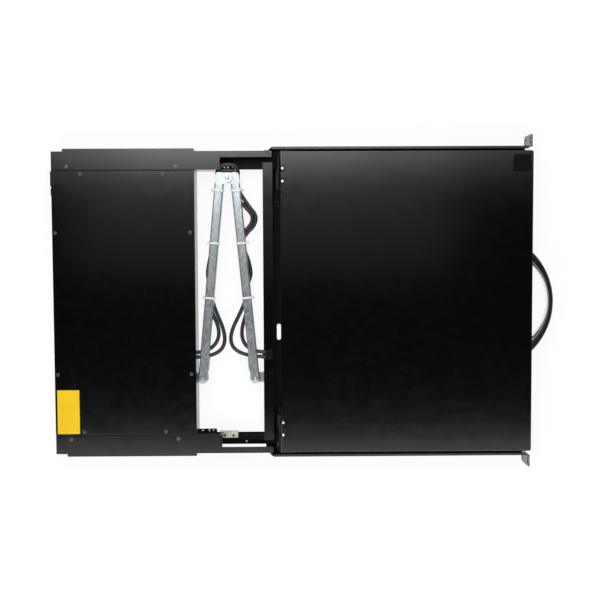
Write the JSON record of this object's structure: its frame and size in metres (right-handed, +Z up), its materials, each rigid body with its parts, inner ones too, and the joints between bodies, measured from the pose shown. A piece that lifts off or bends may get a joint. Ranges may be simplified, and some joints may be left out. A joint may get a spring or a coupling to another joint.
{
  "type": "rackmount lcd console drawer",
  "caption": "Sliding rack drawer with a flip-up flat display over a keyboard and touchpad, bow handles, a rear switch box and a folding cable arm between them.",
  "frame": {"origin": "centre of the four rack-ear slots, on the ear faces that meet the rack posts", "axes": "+X to the right seen from the front, +Y into the rack towards the rear, +Z up"},
  "size_m": [0.4826, 0.7294, 0.0436],
  "materials": {
    "powder_black": "textured black powder coat",
    "zinc_plated": "bright zinc-plated sheet steel, slightly blue",
    "moulded_black": "black moulded plastic with a fine texture",
    "keycap_black": "matte black keycaps",
    "screen_black": "dark glossy display surface",
    "handle_dark": "dark brown-black satin plastic",
    "nylon_white": "natural white nylon",
    "circuit_green": "green solder mask",
    "connector_black": "black connector plastic",
    "nickel": "nickel-plated steel",
    "screw_black": "black-oxide screws",
    "cable_jacket": "black PVC jacket"
  },
  "bodies": {
    "frame": {"side_rail_left": "powder_black", "side_rail_right": "powder_black", "rear_bracket_left": "powder_black", "rear_bracket_right": "powder_black", "slides_outer": "zinc_plated", "switch_base": "powder_black", "switch_cover": "powder_black", "switch_front_wall": "zinc_plated", "switch_rear_panel": "powder_black", "switch_electronics": "circuit_green", "ac_inlet": "connector_black", "port_jacks": "connector_black", "console_ports": "nickel", "box_screws": "screw_black", "arm_bracket_rear": "zinc_plated", "cable_switch_loop": "cable_jacket"},
    "slides_middle": {"slides_middle": "zinc_plated"},
    "drawer": {"slides_inner": "zinc_plated", "drawer_side_left": "powder_black", "drawer_side_right": "powder_black", "tray_floor": "powder_black", "tray_front": "powder_black", "cross_beam": "powder_black", "strain_relief": "moulded_black", "rail_clip": "zinc_plated", "lower_handle": "zinc_plated", "hinge_brackets": "zinc_plated", "keyboard_deck": "moulded_black", "key_base": "moulded_black", "touchpad": "moulded_black", "arm_bracket_front": "zinc_plated", "cable_tray_loop": "cable_jacket"},
    "release_lever_left": {"release_lever_left": "zinc_plated"},
    "release_lever_right": {"release_lever_right": "zinc_plated"},
    "touchpad_button_left": {"touchpad_button_left": "keycap_black"},
    "touchpad_button_right": {"touchpad_button_right": "keycap_black"},
    "keys_space": {"keys_space": "keycap_black"},
    "keys_letters": {"keys_letters": "keycap_black"},
    "keys_number": {"keys_number": "keycap_black"},
    "keys_function": {"keys_function": "keycap_black"},
    "lid": {"lid_cover": "powder_black", "lid_bezel": "moulded_black", "lcd_panel": "screen_black", "lid_boards": "circuit_green", "hinge_leaves": "zinc_plated", "upper_handle": "handle_dark", "lid_screws": "screw_black"},
    "osd_buttons": {"osd_buttons": "keycap_black"},
    "ac_rocker": {"ac_rocker": "connector_black"},
    "arm_rear": {"arm_rear": "zinc_plated", "knee_rivet": "zinc_plated", "arm_rear_ties": "nylon_white", "cable_arm_rear": "cable_jacket", "cable_knee_loop": "cable_jacket"},
    "arm_front": {"arm_front": "zinc_plated", "arm_front_ties": "nylon_white", "cable_arm_front": "cable_jacket"},
    "pivot_washer": {"pivot_washer": "nylon_white"}
  },
  "joints": [
    {"name": "drawer_slide", "type": "slide", "parent": "frame", "child": "drawer", "axis": [0, -1, 0], "range_m": [0, 0.38]},
    {"name": "middle_slide", "type": "slide", "parent": "frame", "child": "slides_middle", "axis": [0, -1, 0], "range_m": [0, 0.19]},
    {"name": "lid_hinge", "type": "hinge", "parent": "drawer", "child": "lid", "pos_m": [0, 0.3575, 0.0106], "axis": [-1, 0, 0], "range_deg": [0, 108]},
    {"name": "arm_rear_swing", "type": "hinge", "parent": "frame", "child": "arm_rear", "pos_m": [-0.11091, 0.4747, 0.01], "axis": [0, 0, -1], "range_deg": [0, 43.45], "deforming": ["cable_switch_loop"]},
    {"name": "arm_knee", "type": "hinge", "parent": "arm_rear", "child": "arm_front", "pos_m": [0.1806, 0.43655, 0.014], "axis": [0, 0, 1], "range_deg": [0, 86.9], "deforming": ["cable_knee_loop"]},
    {"name": "washer_turn", "type": "hinge", "parent": "drawer", "child": "pivot_washer", "pos_m": [-0.11091, 0.3984, 0.001], "axis": [0, 0, 1], "range_deg": [0, 43.45], "deforming": ["cable_tray_loop"]},
    {"name": "rocker_tilt", "type": "hinge", "parent": "frame", "child": "ac_rocker", "pos_m": [0.162, 0.685, -0.001], "axis": [1, 0, 0], "range_deg": [0, 12]},
    {"name": "osd_press", "type": "slide", "parent": "lid", "child": "osd_buttons", "axis": [0, 0, 1], "range_m": [0, 0.0008], "stiffness_N_per_m": 300, "springref_m": -0.001},
    {"name": "release_pull_left", "type": "slide", "parent": "drawer", "child": "release_lever_left", "axis": [0, -1, 0], "range_m": [0, 0.005], "stiffness_N_per_m": 300, "springref_m": -0.002},
    {"name": "touchpad_press_left", "type": "slide", "parent": "drawer", "child": "touchpad_button_left", "axis": [0, 0, -1], "range_m": [0, 0.0008], "stiffness_N_per_m": 400, "springref_m": -0.001},
    {"name": "release_pull_right", "type": "slide", "parent": "drawer", "child": "release_lever_right", "axis": [0, -1, 0], "range_m": [0, 0.005], "stiffness_N_per_m": 300, "springref_m": -0.002},
    {"name": "touchpad_press_right", "type": "slide", "parent": "drawer", "child": "touchpad_button_right", "axis": [0, 0, -1], "range_m": [0, 0.0008], "stiffness_N_per_m": 400, "springref_m": -0.001},
    {"name": "press_space", "type": "slide", "parent": "drawer", "child": "keys_space", "axis": [0, 0, -1], "range_m": [0, 0.0022], "stiffness_N_per_m": 1500, "springref_m": -0.002},
    {"name": "press_letters", "type": "slide", "parent": "drawer", "child": "keys_letters", "axis": [0, 0, -1], "range_m": [0, 0.0022], "stiffness_N_per_m": 1500, "springref_m": -0.002},
    {"name": "press_number", "type": "slide", "parent": "drawer", "child": "keys_number", "axis": [0, 0, -1], "range_m": [0, 0.0022], "stiffness_N_per_m": 1500, "springref_m": -0.002},
    {"name": "press_function", "type": "slide", "parent": "drawer", "child": "keys_function", "axis": [0, 0, -1], "range_m": [0, 0.0022], "stiffness_N_per_m": 1500, "springref_m": -0.002}
  ],
  "couplings": [
    {"joint": "middle_slide", "follows": "drawer_slide", "ratio": 0.5},
    {"joint": "arm_rear_swing", "follows": "drawer_slide", "rad_per_m": 1.9953},
    {"joint": "arm_knee", "follows": "drawer_slide", "rad_per_m": 3.9905},
    {"joint": "washer_turn", "follows": "drawer_slide", "rad_per_m": 1.9953}
  ]
}
